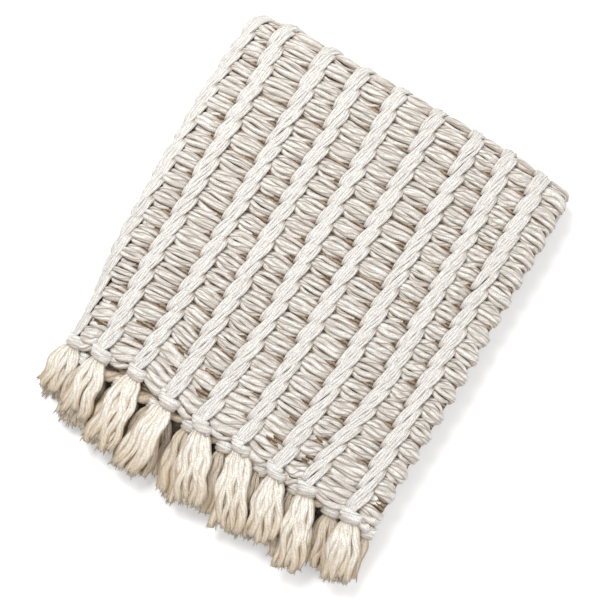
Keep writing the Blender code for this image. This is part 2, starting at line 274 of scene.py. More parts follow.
def makeTubes(name, centres, sideways, width, height, sides, shade=None, lobes=0.0, place=None,
              sideShade=0.0):
    # centres holds each tube's rings. width and height are half the size, along sideways and across it
    count, rings = centres.shape[0], centres.shape[1] - 1
    thing = tubeCopies(name, count, sides, rings)
    flat = np.empty(len(thing.data.vertices) * 3, np.float32)
    thing.data.vertices.foreach_get("co", flat)
    x, y, z = flat.reshape(-1, 3).T
    number = np.rint(x / tubeSetup["apart"]).astype(int)
    ring = np.rint(z * rings).astype(int)
    turn = np.arctan2(y, x - tubeSetup["apart"] * number)
    ahead = unit(np.gradient(centres, axis=1))
    sideways = unit(sideways - ahead * (sideways * ahead).sum(-1, keepdims=True))
    upward = np.cross(ahead, sideways)
    lobe = tubeSetup["lobes"] * turn + tau * number * tubeSetup["lobeStep"] + ring * tubeSetup["lobeTwist"]
    swell = 1 + lobes * np.cos(lobe)
    size = [np.broadcast_to(s, centres.shape[:2])[number, ring] * swell for s in (width, height)]
    points = centres[number, ring]
    points = points + sideways[number, ring] * (size[0] * np.cos(turn))[:, None]
    points = points + upward[number, ring] * (size[1] * np.sin(turn))[:, None]
    if place:
        points = place(points)
    points[:, 2] = np.maximum(points[:, 2], floorGap)
    thing.data.vertices.foreach_set("co", points.astype(np.float32).ravel())
    perVertex(thing, "seed", (number * tubeSetup["seedStep"]) % 1.0)
    # the shade attribute is painted shade: given per ring, and darker down each tube's sides where it
    # presses on its neighbours
    dark = np.zeros(centres.shape[:2]) if shade is None else np.broadcast_to(shade, centres.shape[:2])
    paintedSideShade = sideShade * np.abs(np.cos(turn)) ** tubeSetup["sideShadePower"]
    perVertex(thing, "shade", np.clip(dark[number, ring] + paintedSideShade, 0, 1))
    lengths = np.linalg.norm(np.diff(centres, axis=1), axis=-1).sum(axis=1)
    corner = np.empty(len(thing.data.loops), np.int32)
    thing.data.loops.foreach_get("vertex_index", corner)
    layer = thing.data.uv_layers["yarn"]
    uv = np.empty(len(corner) * 2, np.float32)
    layer.uv.foreach_get("vector", uv)
    uv = uv.reshape(-1, 2)
    uv[:, 1] *= lengths[number[corner]]
    layer.uv.foreach_set("vector", uv.ravel())
    finishMesh(thing)
    return thing


# finishes

yarnLook = {
    "light": (0.865, 0.845, 0.81),
    "middle": (0.54, 0.505, 0.46),
    # the colour of painted shade, mixed in by each yarn's shade attribute
    "paintedShadeColour": (0.29, 0.205, 0.135),
    # the colour of the painted shade in the creases between the plies
    "creaseShade": (0.24, 0.19, 0.14),
    "plies": 2.0,
    "creaseDepth": 0.85,
    "creaseWidth": 0.45,
    "creaseFibre": 0.45,
    "drift": 0.35,
    "driftRate": 28.0,
    "fibres": 9.0,  # streaks round a yarn
    "fibreLength": 0.022,
    "fibreDetail": 3.0,
    "streaks": (0.38, 0.62),
    "twist": 0.13,  # length of one turn
    "fuzz": 0.0016,
    "fuzzStrength": 0.8,
    "plyRelief": 0.7,
    "patches": 150.0,
    "patchLight": 0.35,
    "specks": 520.0,
    "speckDetail": 1.0,
    "speckRange": (0.50, 0.30),
    "speckDepth": 0.45,
    "roughness": 0.92,
    "specular": 0.15,
    "sheen": 0.35,
    "sheenRoughness": 0.5,
}
# the ground's dark brown is painted shade
groundLook = {
    "paintedShadeColour": (0.085, 0.060, 0.040), "light": (0.60, 0.46, 0.34), "grain": 420.0,
    "bands": 44.0, "distortion": 3.0, "detail": 2.0, "detailScale": 3.0,
    "roughness": 0.95, "specular": 0.1, "fuzz": 0.001, "fuzzStrength": 0.6,
}
fibreSeed, driftSeed = 60.0, 90.0  # how far apart the patterns of two yarns lie


def link(tree, start, end):
    tree.links.new(start, end)


def mathNode(tree, operation, first, second=None):
    node = tree.nodes.new("ShaderNodeMath")
    node.operation = operation
    for socket, value in zip(node.inputs, (first, second)):
        if isinstance(value, (int, float)):
            socket.default_value = value
        elif value is not None:
            link(tree, value, socket)
    return node.outputs[0]


def plus(tree, first, second):
    return mathNode(tree, "ADD", first, second)


def times(tree, first, second):
    return mathNode(tree, "MULTIPLY", first, second)


def combine(tree, *values):
    node = tree.nodes.new("ShaderNodeCombineXYZ")
    for socket, value in zip(node.inputs, values):
        if value is not None:
            link(tree, value, socket)
    return node.outputs[0]


def noise(tree, vector, scale, detail=2.0):
    node = tree.nodes.new("ShaderNodeTexNoise")
    node.inputs["Scale"].default_value = scale
    node.inputs["Detail"].default_value = detail
    link(tree, vector, node.inputs["Vector"])
    return node.outputs["Fac"]


def mapRange(tree, value, start, end, top=1.0, kind="LINEAR"):
    node = tree.nodes.new("ShaderNodeMapRange")
    node.interpolation_type = kind
    node.inputs["From Min"].default_value = start
    node.inputs["From Max"].default_value = end
    node.inputs["To Max"].default_value = top
    link(tree, value, node.inputs["Value"])
    return node.outputs["Result"]


def mixColour(tree, share, low, high):
    node = tree.nodes.new("ShaderNodeMix")
    node.data_type = "RGBA"
    for name, value in (("Factor_Float", share), ("A_Color", low), ("B_Color", high)):
        socket = next(s for s in node.inputs if s.identifier == name)
        if hasattr(value, "links"):
            link(tree, value, socket)
        else:
            socket.default_value = (*value, 1)
    return next(s for s in node.outputs if s.identifier == "Result_Color")


def attribute(tree, name):
    node = tree.nodes.new("ShaderNodeAttribute")
    node.attribute_name = name
    return node.outputs["Fac"]


def addBump(tree, shader, height, look):
    bump = tree.nodes.new("ShaderNodeBump")
    bump.inputs["Strength"].default_value = look["fuzzStrength"]
    bump.inputs["Distance"].default_value = look["fuzz"]
    link(tree, height, bump.inputs["Height"])
    link(tree, bump.outputs[0], shader.inputs["Normal"])


def startMaterial(name, sockets):
    material = bpy.data.materials.new(name)
    material.use_nodes = True
    shader = material.node_tree.nodes["Principled BSDF"]
    for socket, value in sockets.items():
        shader.inputs[socket].default_value = value
    return material, material.node_tree, shader


def makeYarnFinish(name, look):
    material, tree, shader = startMaterial(name, {
        "Roughness": look["roughness"], "Specular IOR Level": look["specular"],
        "Sheen Weight": look["sheen"], "Sheen Roughness": look["sheenRoughness"]})
    uvMap = tree.nodes.new("ShaderNodeUVMap")
    uvMap.uv_map = "yarn"
    split = tree.nodes.new("ShaderNodeSeparateXYZ")
    link(tree, uvMap.outputs[0], split.inputs[0])
    around, length = split.outputs["X"], split.outputs["Y"]
    turned = plus(tree, around, mathNode(tree, "DIVIDE", length, look["twist"]))
    seed = attribute(tree, "seed")
    spot = tree.nodes.new("ShaderNodeTexCoord").outputs["Object"]
    # the fibres run with the twist, paler in patches
    fibre = noise(tree, combine(tree, times(tree, turned, look["fibres"]),
                                mathNode(tree, "DIVIDE", length, look["fibreLength"]),
                                times(tree, seed, fibreSeed)), 1.0, look["fibreDetail"])
    patch = noise(tree, spot, look["patches"])
    streak = mapRange(tree, fibre, *look["streaks"])
    paler = times(tree, streak, plus(tree, patch, look["patchLight"]))
    tone = mixColour(tree, paler, look["middle"], look["light"])
    # the creases between the plies wind round the yarn and drift a little. They carry painted shade, and
    # small dark specks join them
    drift = noise(tree, combine(tree, None, times(tree, length, look["driftRate"]),
                                times(tree, seed, driftSeed)), 1.0)
    wound = plus(tree, turned, plus(tree, seed, times(tree, drift, look["drift"])))
    ply = mathNode(tree, "SINE", times(tree, wound, math.pi * look["plies"]))
    ply = mathNode(tree, "ABSOLUTE", ply)
    creaseShade = mapRange(tree, ply, look["creaseWidth"], 0.0, kind="SMOOTHSTEP")
    creaseShadeAndSpecks = times(tree, creaseShade, look["creaseDepth"])
    creaseShadeAndSpecks = times(tree, creaseShadeAndSpecks, plus(tree, fibre, look["creaseFibre"]))
    speck = noise(tree, spot, look["specks"], look["speckDetail"])
    dark = mapRange(tree, speck, *look["speckRange"], top=look["speckDepth"])
    creaseShadeAndSpecks = mathNode(tree, "MAXIMUM", creaseShadeAndSpecks, dark)
    plain = mixColour(tree, creaseShadeAndSpecks, tone, look["creaseShade"])
    # painted shade: the shade attribute mixes in the painted shade colour
    withPaintedShade = mixColour(tree, attribute(tree, "shade"), plain, look["paintedShadeColour"])
    link(tree, withPaintedShade, shader.inputs["Base Color"])
    addBump(tree, shader, plus(tree, times(tree, ply, look["plyRelief"]), fibre), look)
    return material


def makeGroundFinish(name, look):
    # painted shade: a dark brown, banded like yarns, for the hidden inner plies and the shaded yarns deep
    # in the weave
    material, tree, shader = startMaterial(name, {
        "Roughness": look["roughness"], "Specular IOR Level": look["specular"]})
    spot = tree.nodes.new("ShaderNodeTexCoord").outputs["Object"]
    grain = noise(tree, spot, look["grain"])
    yarns = tree.nodes.new("ShaderNodeTexWave")
    yarns.bands_direction = "Y"
    yarns.inputs["Scale"].default_value = look["bands"]
    yarns.inputs["Distortion"].default_value = look["distortion"]
    yarns.inputs["Detail"].default_value = look["detail"]
    yarns.inputs["Detail Scale"].default_value = look["detailScale"]
    link(tree, spot, yarns.inputs["Vector"])
    tone = mixColour(tree, times(tree, grain, yarns.outputs["Fac"]), look["paintedShadeColour"], look["light"])
    link(tree, tone, shader.inputs["Base Color"])
    addBump(tree, shader, grain, look)
    return material


wovenYarn = makeYarnFinish("woven_yarn", yarnLook)
ribYarn = makeYarnFinish("rib_yarn", {
    **yarnLook, "light": (0.845, 0.83, 0.80), "middle": (0.69, 0.67, 0.635), "creaseDepth": 0.58,
    "plies": 3.0, "fibres": 4.0, "fibreLength": 0.014, "twist": 0.09, "speckDepth": 0.55})
tasselYarn = makeYarnFinish("tassel_yarn", {
    **yarnLook, "light": (0.96, 0.945, 0.905), "middle": (0.80, 0.75, 0.665), "paintedShadeColour": (0.42, 0.30, 0.165),
    "creaseShade": (0.40, 0.28, 0.155), "creaseDepth": 0.42, "plies": 6.0, "fibres": 7.0, "fibreLength": 0.012,
    "twist": 0.22, "speckDepth": 0.6, "fuzz": 0.0022})
# a darker tan copy of the woven yarn, painted shade for the hems of the inner plies
paintedShadeYarn = makeYarnFinish("painted_shade_yarn", {
    **yarnLook, "light": (0.66, 0.56, 0.44), "middle": (0.42, 0.34, 0.25)})
paintedShadeGround = makeGroundFinish("ground_painted_shade", groundLook)
chance = np.random.default_rng(7)

# the ground cloth, thin under the yarns and full where it is hidden

clothShape = {
    "spansAcross": 180, "spansAlong": 210, "front": -0.0005, "inset": 0.005, "hidden": 0.0085,
    "groove": 0.0025, "puffPower": 0.5, "hemRows": 1.9, "hemDepth": 0.0045, "fullFrom": 0.68,
}


def ribPlace(across):
    # 0 at a rib, 0.5 in the middle of a puff, 1 at the next rib
    return (across / ribPitch) % 1.0


def makeCloth(shape):
    mesh = bmesh.new()
    bmesh.ops.create_grid(mesh, x_segments=shape["spansAcross"], y_segments=shape["spansAlong"], size=0.5)
    bmesh.ops.solidify(mesh, geom=mesh.faces[:], thickness=1.0)
    data = bpy.data.meshes.new("throw_cloth")
    mesh.to_mesh(data)
    mesh.free()
    flat = np.empty(len(data.vertices) * 3, np.float32)
    data.vertices.foreach_get("co", flat)
    x, y, z = flat.reshape(-1, 3).T.astype(float)
    inset = shape["inset"]
    across = -selvedge + inset + (x + 0.5) * (clothWidth - 2 * inset)
    along = inset + (y + 0.5) * (clothLength - 2 * inset)
    isFront = z > np.median(z)
    puff = np.sin(math.pi * ribPlace(across)) * np.abs(np.sin(math.pi * along / rowPitch))
    plain = shape["hidden"] - shape["groove"] * (1 - puff ** shape["puffPower"])
    hem = np.minimum(along, clothLength - along) < shape["hemRows"] * rowPitch
    plain = np.where(hem, shape["hemDepth"], plain)
    frontLift = np.where(across > shape["fullFrom"], plain, shape["front"])
    lift = np.where(isFront, frontLift, -plain)
    points = fold(np.stack([across, along, lift], axis=-1))
    data.vertices.foreach_set("co", points.astype(np.float32).ravel())
    thing = bpy.data.objects.new("throw_cloth", data)
    scene.collection.objects.link(thing)
    finishMesh(thing)
    # the cloth shows only in the gaps, coloured as painted shade
    thing.data.materials.append(paintedShadeGround)
    return thing


cloth = makeCloth(clothShape)
print("cloth made")

# the weft: four plump yarns in each row, arching from rib to rib. A ramp is a start and a length,
# as parts of the way from one rib to the next. Only farRamp is in metres along the cloth

weftShape = {
    "yarns": 4, "spacing": 0.0100, "halfWidth": 0.0055, "halfHeight": 0.0056, "bow": 0.0010,
    "flankSize": 0.80, "flankPower": 0.6,
    # a puff closes up at its two ends, and its low side slips under at the right
    "leftRound": 0.37, "leftRamp": (0.15, 0.22), "rightRound": 0.11, "rightRamp": (0.56, 0.26),
    "lowPull": 0.0046, "lowSink": 0.0030, "lowRamp": (0.42, 0.36), "lowShade": 0.35,
    # how high a puff stands, and how it comes down to the ribs
    "lift": 0.0002, "drop": 0.0090, "dome": 0.0068, "archRamp": (0.05, 0.26),
    "fallRamp": (0.40, 0.58), "fallPower": 2.4, "edgeArch": 0.55, "firstArch": 0.2,
    # the panel that rolls over the side fold
    "rollPinch": 0.08, "rollDome": 0.0028, "rollRamp": (0.45, 0.3), "rollFall": (0.72, 0.32),
    "rollPull": 0.6,
    # how uneven the yarns are, and the puffs
    "jitterAlong": 0.0015, "jitterLift": 0.0014, "jitterSize": 0.20,
    "puffAlong": 0.0013, "puffLift": 0.0012, "puffPinch": 0.07, "puffSkew": 0.0066, "skewAbout": 0.45,
    "ripple": 0.0008, "rippleLength": 0.043,
    # the turn round the free edge
    "turnRadius": 0.0040, "turnInset": 0.004, "turnSteps": 5, "tails": (0.030, 0.014), "edgeRise": 0.3,
    # the rows next to a hem, and those near the far edge, which lie calmer and take less painted shade
    "hemBulge": 0.0100, "hemThick": 0.35, "hemThickPower": 1.5, "hemSpread": 0.09, "hemFull": 0.28,
    "hemCalm": 0.55, "hemShade": 0.4, "farCalm": 0.45, "farRamp": (0.38, 0.22),
    # the back of the cloth
    "backBulge": 0.2, "backHeight": 0.55, "backDrop": 0.3, "backShade": 0.9,
    # the painted shade where a yarn goes down, and down its sides
    "shadeReach": 1.08, "sideShade": 0.58,
}
topRows = 20  # as far as the end of the far fold
rollPanel = 8  # between ribs 8 and 9
weftEnd = 0.672  # just past the side fold
hemRows = (0, 1, rowCount - 2, rowCount - 1)
hemOverlap, hemStart, hemInset = 0.012, 0.004, 0.002  # where the hem rows' yarns start and end


def makeWeft(name, rows, start, end, shape, perPanel, sides, wrap=True, back=False, finish=wovenYarn):
    yarns = shape["yarns"]
    outermost = (yarns - 1) / 2
    row = np.repeat(np.array(rows), yarns)[:, None]
    yarn = np.tile(np.arange(yarns), len(rows))[:, None] - outermost
    # the rings of a yarn, with the turn round the free edge first
    radius = shape["turnRadius"]
    edge = -selvedge + shape["turnInset"] + shape["halfHeight"] + radius
    step = ribPitch / perPanel
    line = np.arange(edge if wrap else start, end + step / 2, step)
    turns = np.linspace(0, math.pi, shape["turnSteps"] + 1)[:-1] if wrap else np.zeros(0)
    tail = edge + np.array(shape["tails"]) if wrap else np.zeros(0)
    across = np.concatenate([tail, edge - radius * np.sin(turns), line])[None, :]
    fromEdge = np.concatenate([-np.ones(len(tail)), -np.cos(turns), np.ones(len(line))])[None, :]
    part = ribPlace(across)
    rise = np.where(across < 0, shape["edgeRise"], np.sin(math.pi * part))
    panel = np.clip(np.floor(across / ribPitch), -1, ribCount).astype(int) + 1
    panel = np.broadcast_to(panel, (len(row), panel.shape[1]))

    def scatter(size, count):
        # a random amount for each panel of each row, or of each yarn
        table = chance.uniform(-size, size, (count, ribCount + 2))
        return np.take_along_axis(np.repeat(table, len(row) // count, axis=0), panel, axis=1) * rise

    nearHem = np.isin(row, hemRows)
    still = 1 - shape["hemCalm"] * nearHem
    # calm evens the puffs near the hems and towards the far edge, and also thins their painted shade, so
    # those rows are painted lighter
    calm = still * (1 - shape["farCalm"] * ramp(np.minimum(row, topRows) * rowPitch, *shape["farRamp"]))
    onRoll = (across > rollPanel * ribPitch) & (across < (rollPanel + 1) * ribPitch) & ~np.array(back)
    rolled = onRoll * ramp(part, *shape["rollRamp"])
    low = np.maximum(-yarn, 0) / outermost * ramp(part, *shape["lowRamp"])
    low = low * (across > 0) * (1 - shape["rollPull"] * onRoll)
    pinch = 1 - calm * shape["leftRound"] * (1 - ramp(part, *shape["leftRamp"]))
    pinch = pinch - shape["rightRound"] * ramp(part, *shape["rightRamp"]) - shape["rollPinch"] * rolled
    pinch = pinch + scatter(shape["puffPinch"], len(rows)) * still
    # where the yarn lies along the cloth
    spread = shape["spacing"] * (1 + shape["hemSpread"] * nearHem)
    along = (row + 0.5) * rowPitch + yarn * spread * pinch - shape["bow"] * rise
    along = along + scatter(shape["puffAlong"], len(rows)) * still
    along = along + scatter(shape["puffSkew"], len(rows)) * still * (part - shape["skewAbout"])
    phase = chance.uniform(0, tau, (len(row), 1))
    along = along + shape["ripple"] * rise * np.sin(tau * across / shape["rippleLength"] + phase)
    along = along + shape["lowPull"] * low * still
    atHem = np.where(row == 0, -1, np.where(row == rowCount - 1, 1, 0))
    outer = (atHem != 0) * (yarn * atHem + outermost) / (yarns - 1)
    bulge = shape["hemBulge"] * (shape["backBulge"] if back else 1)
    along = along + atHem * outer * bulge * rise + scatter(shape["jitterAlong"], len(row))
    # its size
    size = 1 + scatter(shape["jitterSize"], len(row))
    size = size * (shape["flankSize"] + (1 - shape["flankSize"]) * rise ** shape["flankPower"])
    if not back:
        size = size * (1 + shape["hemThick"] * outer ** shape["hemThickPower"] * rise)
    width = shape["halfWidth"] * size * (1 + shape["hemFull"] * nearHem)
    height = shape["halfHeight"] * size * (shape["backHeight"] if back else 1)
    # its height over the cloth
    raised = shows(np.broadcast_to(across, along.shape), along)
    (rollFrom, rollOver), (fallFrom, fallOver) = shape["rollFall"], shape["fallRamp"]
    fall = np.maximum(part - fallFrom, 0) / fallOver
    fall = np.where(onRoll, np.maximum(part - rollFrom, 0) / rollOver, fall)
    arch = ramp(part, *shape["archRamp"]) * (1 - fall ** shape["fallPower"]).clip(0, 1)
    arch = np.where(across < ribPitch / 2, np.maximum(arch, shape["firstArch"]), arch)
    arch = np.where(across < 0, shape["edgeArch"], arch)
    drop = shape["drop"] * (shape["backDrop"] if back else 1)
    top = halfPly + (puffRise + shape["lift"]) * raised - drop * (1 - arch)
    top = top - (shape["dome"] * rise + shape["rollDome"] * rolled) * (yarn / outermost) ** 2
    top = top + (scatter(shape["jitterLift"], len(row)) - shape["lowSink"] * low * calm) * raised
    top = top + scatter(shape["puffLift"], len(rows)) * still * raised
    lift = (top - height) * (-1 if back else 1)
    lift = np.where(fromEdge < 1, fromEdge * radius, lift)
    centres = np.stack([np.broadcast_to(across, along.shape), along, lift], axis=-1)
    # painted shade: darker where a puff comes down to a rib and where its low side slips under, less on the
    # first row and on calm rows, more on the back yarns
    dipShade = (1 - smooth(arch * shape["shadeReach"])) * np.where(row == 0, shape["hemShade"], 1)
    shade = np.clip(dipShade + shape["lowShade"] * low, 0, 1) * calm + (shape["backShade"] if back else 0)
    thing = makeTubes(name, centres, np.array((0.0, 1.0, 0.0)), width, height, sides, shade, place=fold,
                      sideShade=shape["sideShade"])
    thing.data.materials.append(finish)
    return thing


weftTop = makeWeft("weft_top", range(topRows), 0, weftEnd, weftShape, perPanel=9, sides=9)
weftBase = makeWeft("weft_base", range(topRows, rowCount), 0, weftEnd, weftShape, perPanel=5, sides=6)
weftHems = makeWeft("weft_hems", hemRows, weftEnd - hemOverlap, lastEdge - hemInset, weftShape,
                    perPanel=6, sides=8, wrap=False, finish=paintedShadeYarn)
weftHemBacks = makeWeft("weft_hem_backs", hemRows, hemStart, lastEdge - hemInset, weftShape,
                        perPanel=6, sides=8, wrap=False, back=True, finish=paintedShadeGround)
print("weft made")

# the ribs: a rope of bundles of three yarns, each on top for two rows from the left flank to the right

ribShape = {
    "yarns": 3, "spacing": 0.0045, "halfWidth": 0.0033, "halfHeight": 0.0031, "rows": 2.4, "shortest": 0.6,
    "sway": 0.0110, "level": 0.0090, "crown": 0.0016, "crownPower": 0.6, "sink": 0.0055, "edge": 0.16,
    "pinch": 0.52, "pinchPower": 0.7, "tilt": 22, "tiltVary": 0.12, "jitter": 0.0011, "waves": 1.3,
    "waveVary": 3, "endSize": 0.78, "sizeVary": 0.10, "sideShade": 0.16, "startShade": 0.4,
    "endShade": 0.75, "hiddenRise": 0.0062, "farDip": 0.0030,
    # at a hem, with a start and a length in metres
    "hemDip": 0.0100, "hemDipRamp": (0.004, -0.009), "hemRise": 0.0036, "hemRiseRamp": (0.012, -0.016),
    "hemPinch": 0.22, "hemPinchRamp": (0.012, -0.020),
    # the rib at the free edge, and the one on the side fold's roll
    "edgeSpread": 1.1, "edgeShift": 0.0055, "rollSpread": 0.6, "rollShift": 0.012, "rollSink": 0.006,
}
rollRib = 9  # the last on the outer plies
ribOverhang = 0.006  # past the hem, over the knots


def makeRibs(name, ribs, start, end, shape, rings, sides):
    yarns = shape["yarns"]
    places = np.arange(math.floor(start / rowPitch - shape["rows"]) + 1, end / rowPitch - 0.5)
    inBundle = np.arange(yarns) - (yarns - 1) / 2
    grids = np.meshgrid(ribs, places, inBundle, indexing="ij")
    rib, place, yarn = [grid.reshape(-1, 1) for grid in grids]
    bundle = np.repeat(np.arange(len(rib) // yarns), yarns)
    first = place * rowPitch
    length = shape["rows"] * rowPitch
    low, high = np.maximum(first, start), np.minimum(first + length, end)
    kept = (high - low)[:, 0] > shape["shortest"] * rowPitch
    rib, yarn, first, low, high, bundle = [values[kept] for values in (rib, yarn, first, low, high, bundle)]
    along = low + (high - low) * np.linspace(0, 1, rings + 1)[None, :]
    gone = (along - first) / length
    side, up = -np.cos(math.pi * gone), np.clip(np.sin(math.pi * gone), 0, 1)
    fromEnd = ramp(np.minimum(gone, 1 - gone), 0, shape["edge"])
    lean = chance.uniform(-1, 1, (bundle.max() + 1, 4))[bundle]
    tilt = math.radians(shape["tilt"]) * side + shape["tiltVary"] * lean[:, :1]
    off = yarn * shape["spacing"] * (shape["pinch"] + (1 - shape["pinch"]) * up ** shape["pinchPower"])
    own = chance.uniform(-1, 1, (len(yarn), 2)) * shape["jitter"]
    wave = np.sin(tau * gone * shape["waves"] + shape["waveVary"] * lean[:, 1:2] + yarn)
    onRoll = rib == rollRib
    toHem = np.minimum(along, clothLength - along)
    spread = np.where(onRoll, shape["rollSpread"], np.where(rib == 0, shape["edgeSpread"], 1))
    spread = spread * (1 - shape["hemPinch"] * ramp(toHem, *shape["hemPinchRamp"]))
    across = rib * ribPitch + (shape["sway"] * side + off * np.cos(tilt)) * spread
    across = across + shape["rollShift"] * onRoll + shape["edgeShift"] * (rib == 0)
    across = across + shape["jitter"] * (lean[:, 2:3] + wave) * up + own[:, :1] * up
    raised = shows(across, along)
    lift = shape["level"] + shape["crown"] * up ** shape["crownPower"] - shape["sink"] * (1 - fromEnd)
    lift = lift - np.sin(tilt) * off - shape["hiddenRise"] * (1 - raised) + own[:, 1:]
    lift = lift + shape["jitter"] * lean[:, 3:] * up - shape["rollSink"] * onRoll
    lift = lift - shape["farDip"] * raised * np.sin(endTurn(endPath(across, along)))
    lift = lift + shape["hemRise"] * ramp(toHem, *shape["hemRiseRamp"])
    lift = lift - shape["hemDip"] * ramp(toHem, *shape["hemDipRamp"])
    centres = np.stack([across, along, lift], axis=-1)
    sideways = np.stack([np.cos(tilt), np.zeros_like(tilt), -np.sin(tilt)], axis=-1)
    size = shape["endSize"] + (1 - shape["endSize"]) * fromEnd
    size = size * (1 + shape["sizeVary"] * np.roll(lean[:, :1], 1))
    # painted shade at each bundle's two ends, where it dives under, darker at the right-hand end, and down
    # its sides
    shade = np.where(gone > 0.5, shape["endShade"], shape["startShade"]) * (1 - fromEnd)
    thing = makeTubes(name, centres, sideways, shape["halfWidth"] * size, shape["halfHeight"] * size, sides,
                      shade, place=fold, sideShade=shape["sideShade"])
    thing.data.materials.append(ribYarn)
    return thing


ribsStart, ribsEnd = -ribOverhang, clothLength + ribOverhang
midway = topRows * rowPitch
hemBand = 2 * rowPitch
outerRibs, innerRibs = range(rollRib + 1), range(rollRib, ribCount)
ribsTop = makeRibs("ribs_top", outerRibs, ribsStart, midway, ribShape, rings=14, sides=8)
ribsBase = makeRibs("ribs_base", outerRibs, midway, ribsEnd, ribShape, rings=9, sides=6)
ribsHem = makeRibs("ribs_hem", innerRibs, ribsStart, hemBand, ribShape, rings=9, sides=6)
ribsHemFar = makeRibs("ribs_hem_far", innerRibs, clothLength - hemBand, ribsEnd, ribShape, rings=9, sides=6)
print("ribs made")

# the knots and tassels. Leans are in degrees, and reaches are from the hem

tipHeights = {"top": 0.047, "second": 0.027, "third": 0.0165, "floor": 0.0}  # by row
edgeTassel, edgeTipHeight = "tassel_top_00", 0.022  # it hangs down at the droop
outerLeans = (0, 4, 1, -4, 18, 19, 16, 17, 18)  # ribs 0 to 8
outerReaches = (0.110, 0.126, 0.157, 0.160, 0.150, 0.157, 0.132, 0.158, 0.125)
underLeans = (4, 16, 24, 22, 20, 15, 8, 8, 10)  # ribs 9 to 17
underReaches = (0.098, 0.114, 0.138, 0.134, 0.132, 0.142, 0.134, 0.128, 0.120)
underWidths = (0.7, 0.85, 1.25, 1.3, 1.3, 1.3, 1.3, 1.2, 1.1)
thirdShare, floorReach = 0.92, 0.124
knotLength, rollLength = 0.021, 0.030
furthest = 1.1  # how far past its reach a tassel's line may run
thinnest = 0.8  # the size of the yarn in a tassel of no width
tasselShape = {
    "strands": 8, "rings": 16, "sides": 12, "layer": 0.0030, "neckLayer": 0.6, "spreadVary": 0.10,
    "lengthVary": 0.11, "root": 0.003, "loosenOver": 0.04,
    # half the width of the fan, with ramps in metres up to the head and in shares of its length after it
    "neckHalf": 0.0090, "headHalf": 0.0175, "midHalf": 0.0235, "tipHalf": 0.0245,
    "headRamp": (0.012, 0.022), "midRamp": (0.08, 0.42), "tipRamp": (0.5, 0.5),
    # half the thickness of a strand
    "neckThick": 0.0038, "thick": 0.0076, "flat": 0.0056, "thickRamp": (0.014, 0.026),
    "taper": 0.30, "taperRamp": (0.88, 0.12), "sizes": (0.82, 1.15), "lobes": 0.17,
    "wave": 0.0032, "waveLengths": (0.055, 0.09), "liftWave": 0.0016, "liftWaveLength": 0.07,
    # painted shade on the rows under the top one, towards the tips and down the strands' sides
    "offFloor": 0.0004, "underShade": 0.42, "tipShade": 0.60, "shadeRamp": (0.30, 0.75),
    "shadePower": 1.3, "sideShade": 0.68,
}
tuftShape = {
    "perStrand": 7, "length": 0.014, "lengths": (0.6, 1.5), "halfWidths": (0.0024, 0.0021, 0.0014, 0.0003),
    "within": 0.8, "fan": 60, "fanVary": 0.15, "root": 0.004, "rootLift": 0.7, "offFloor": 0.0016,
    "sides": 5,
}
knotShape = {
    "turns": 3, "ringsPerTurn": 16, "sides": 8, "yarn": 0.0060, "endYarn": 0.0046, "yarnTaper": 0.8,
    "halfWidth": 0.0160, "halfHeight": 0.0116, "endSize": 0.84, "bulgePower": 1.4, "start": -0.0025,
    "length": 0.0190, "slant": 0.0032, "slants": (0.3, 1.4), "slantPhase": 1.0, "vary": 0.10,
    "cornerRib": 8, "cornerSize": 1.12, "shade": 0.55, "shadeRamp": (0.45, 0.45),
}


def listTassels():
    found = []

    def add(name, rib, along, row, lean, reach, width=1.0):
        found.append({"name": f"{name}_{rib:02d}", "rib": rib, "along": along, "row": row, "lean": lean,
                      "reach": reach, "width": width})

    for rib, (lean, reach) in enumerate(zip(outerLeans, outerReaches)):
        add("tassel_top", rib, 0.0, "top", lean, reach)
        add("tassel_base", rib, clothLength, "floor", 0, floorReach)
    for i, (lean, reach, width) in enumerate(zip(underLeans, underReaches, underWidths)):
        rib = len(outerLeans) + i
        add("tassel_top", rib, 0.0, "second", lean, reach, width)
        add("tassel_base", rib, clothLength, "third", lean, reach * thirdShare, width)
    return found


def tasselFrame(tassel):
    # the seat at the hem, the way that the tassel points, and its upper side at the knot
    across, along = np.array([tassel["rib"] * ribPitch]), np.array([tassel["along"]])
    seat = middle(across, along)[0] + standAt
    seat[1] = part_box(tassel["name"])[1][1]
    up = facing(across, along)[0]
    up[1] = 0
    if tassel["row"] == "second" or up[2] < -0.5:  # a ply that lies face down
        up = -up
    angle = math.radians(tassel["lean"])
    return seat, np.array((math.sin(angle), -math.cos(angle), 0.0)), unit(up)


def tasselPoint(tassel, away, sideOff, upOff):
    # points at these lengths along a tassel, and off its middle sideways and upwards
    seat, heading, up = tasselFrame(tassel)
    gone = np.clip((away - knotLength) / (tassel["reach"] - knotLength), 0, furthest)
    tipHeight = edgeTipHeight if tassel["name"] == edgeTassel else tipHeights[tassel["row"]]
    roll = ramp(away, 0, rollLength)[..., None]
    turned = ramp(away, 0, knotLength)[..., None]
    upward = unit(up * (1 - roll) + np.array((0.0, 0.0, 1.0)) * roll)
    forward = unit(np.array((0.0, -1.0, 0.0)) * (1 - turned) + heading * turned)
    sideways = unit(np.cross(upward, forward))
    upward = np.cross(forward, sideways)
    centre = seat + heading * away[..., None]
    centre[..., 2] = seat[2] + (tipHeight - seat[2]) * gone
    return centre + sideways * sideOff[..., None] + upward * upOff[..., None]


def strandWidths(away, shape, tassel):
    # half the fan's width along the tassel
    loose = (away - knotLength) / (tassel["reach"] - knotLength)
    half = shape["neckHalf"] + (shape["headHalf"] - shape["neckHalf"]) * ramp(away, *shape["headRamp"])
    half = half + (shape["midHalf"] - shape["headHalf"]) * ramp(loose, *shape["midRamp"])
    half = half + (shape["tipHalf"] - shape["midHalf"]) * ramp(loose, *shape["tipRamp"])
    return half * tassel["width"]


def yarnSize(width):
    return thinnest + (1 - thinnest) * width


